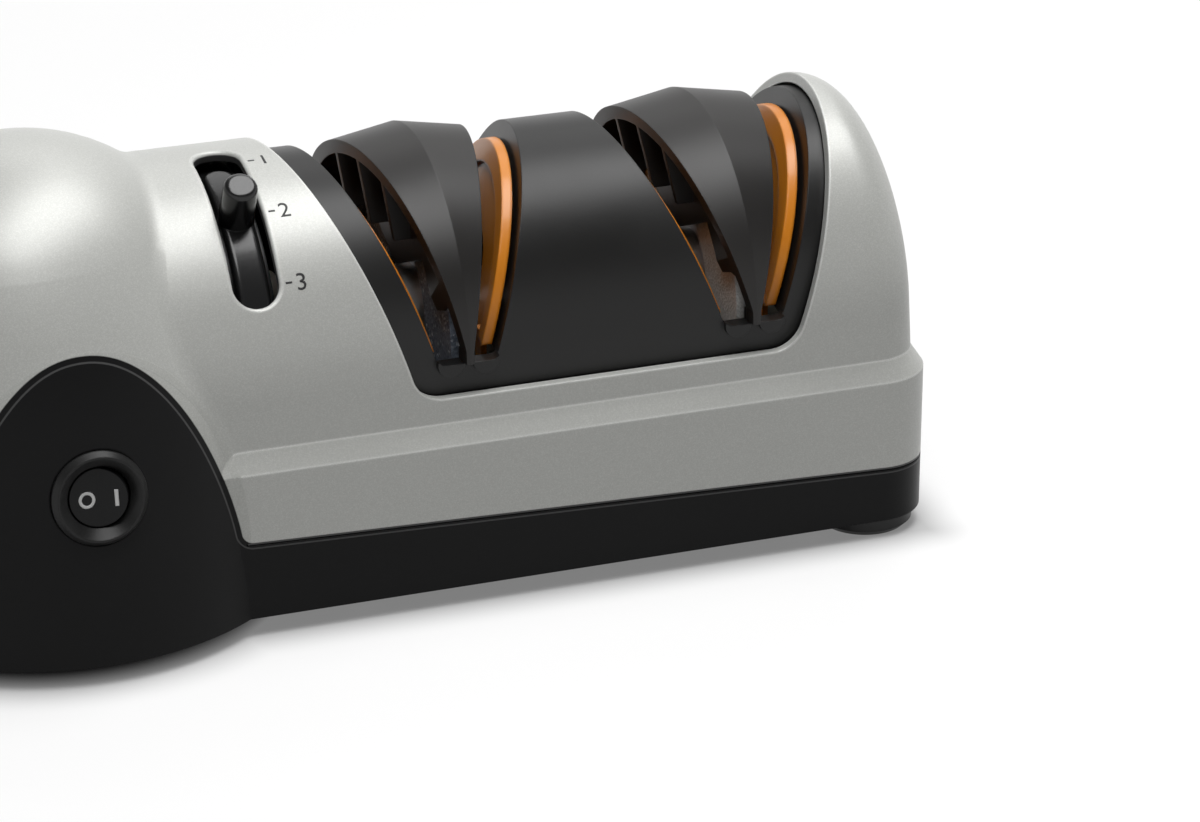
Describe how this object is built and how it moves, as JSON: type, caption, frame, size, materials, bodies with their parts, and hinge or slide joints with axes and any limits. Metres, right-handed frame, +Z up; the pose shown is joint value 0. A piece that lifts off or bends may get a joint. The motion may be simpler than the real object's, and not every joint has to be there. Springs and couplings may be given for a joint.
{
  "type": "electric knife sharpener",
  "caption": "Countertop electric knife sharpener: motor dome with a rocker switch beside a bar with slotted sharpening stations and a bevel selector knob.",
  "frame": {"origin": "on the surface the feet stand on, under the middle of the body's length and depth", "axes": "+X along the bar away from the motor dome, +Y to the back, away from the switch, +Z up"},
  "size_m": [0.2812, 0.124, 0.1169],
  "materials": {
    "silver_housing": "satin",
    "black_plastic": "satin",
    "black_gloss": "gloss",
    "orange_guide": "satin",
    "nylon": "matte",
    "foot_rubber": "matte",
    "coarse_abrasive": "matte",
    "fine_abrasive": "matte",
    "steel": "satin",
    "aluminium": "satin",
    "bronze": "satin",
    "copper": "gloss"
  },
  "bodies": {
    "housing": {"base_housing": "black_plastic", "bearing_block_left": "nylon", "bearing_block_middle": "nylon", "bearing_block_right": "nylon", "bearing_block_screws": "steel", "cord_bushing": "foot_rubber", "foot_front_left": "foot_rubber", "foot_front_right": "foot_rubber", "foot_rear_left": "foot_rubber", "foot_rear_right": "foot_rubber", "housing_screws": "steel", "motor_bearing_front": "steel", "motor_bearing_rear": "steel", "motor_bracket_front": "aluminium", "motor_bracket_rear": "aluminium", "motor_pads": "foot_rubber", "motor_screws": "steel", "motor_tie_bolts": "steel", "selector_ring": "steel", "sharpening_cover": "black_plastic", "spindle_bush_left": "bronze", "spindle_bush_middle": "bronze", "spindle_bush_right": "bronze", "stator_core": "steel", "stator_windings": "copper", "switch_housing": "black_gloss", "switch_terminals": "bronze", "upper_housing": "silver_housing", "wheel_hood_1": "black_plastic", "wheel_hood_2": "black_plastic"},
    "spindle": {"coarse_disc_left": "coarse_abrasive", "coarse_disc_right": "coarse_abrasive", "coarse_wheel_hub": "aluminium", "cooling_fan": "nylon", "coupling_hub_motor": "aluminium", "coupling_hub_spindle": "aluminium", "coupling_spider": "foot_rubber", "fine_disc_left": "fine_abrasive", "fine_disc_right": "fine_abrasive", "fine_wheel_hub": "aluminium", "motor_shaft": "steel", "rotor_core": "steel", "spindle_clips": "steel", "spindle_shaft": "steel"},
    "switch_rocker": {"switch_rocker": "black_gloss"},
    "selector": {"selector_lever": "black_gloss"},
    "left_guides": {"blade_guide_1_left": "orange_guide", "blade_guide_2_left": "orange_guide", "left_guide_carriage": "nylon"},
    "right_guides": {"blade_guide_1_right": "orange_guide", "blade_guide_2_right": "orange_guide", "right_guide_carriage": "nylon"}
  },
  "joints": [
    {"name": "spindle_spin", "type": "hinge", "parent": "housing", "child": "spindle", "pos_m": [0, 0, 0.0613], "axis": [1, 0, 0], "continuous": true},
    {"name": "switch_rocker_tilt", "type": "hinge", "parent": "housing", "child": "switch_rocker", "pos_m": [-0.0785, -0.05614, 0.04718], "axis": [0, 0.1392, 0.9903], "range_deg": [0, 18]},
    {"name": "selector_turn", "type": "hinge", "parent": "housing", "child": "selector", "pos_m": [-0.0336, 0, 0.0613], "axis": [1, 0, 0], "range_deg": [-21.5, 26.5]},
    {"name": "left_guides_slide", "type": "slide", "parent": "housing", "child": "left_guides", "axis": [1, 0, 0], "range_m": [-0.0009, 0.0011]},
    {"name": "right_guides_slide", "type": "slide", "parent": "housing", "child": "right_guides", "axis": [-1, 0, 0], "range_m": [-0.0009, 0.0011]}
  ],
  "couplings": [
    {"joint": "left_guides_slide", "follows": "selector_turn", "m_per_rad": 0.00236},
    {"joint": "right_guides_slide", "follows": "selector_turn", "m_per_rad": 0.00236}
  ]
}
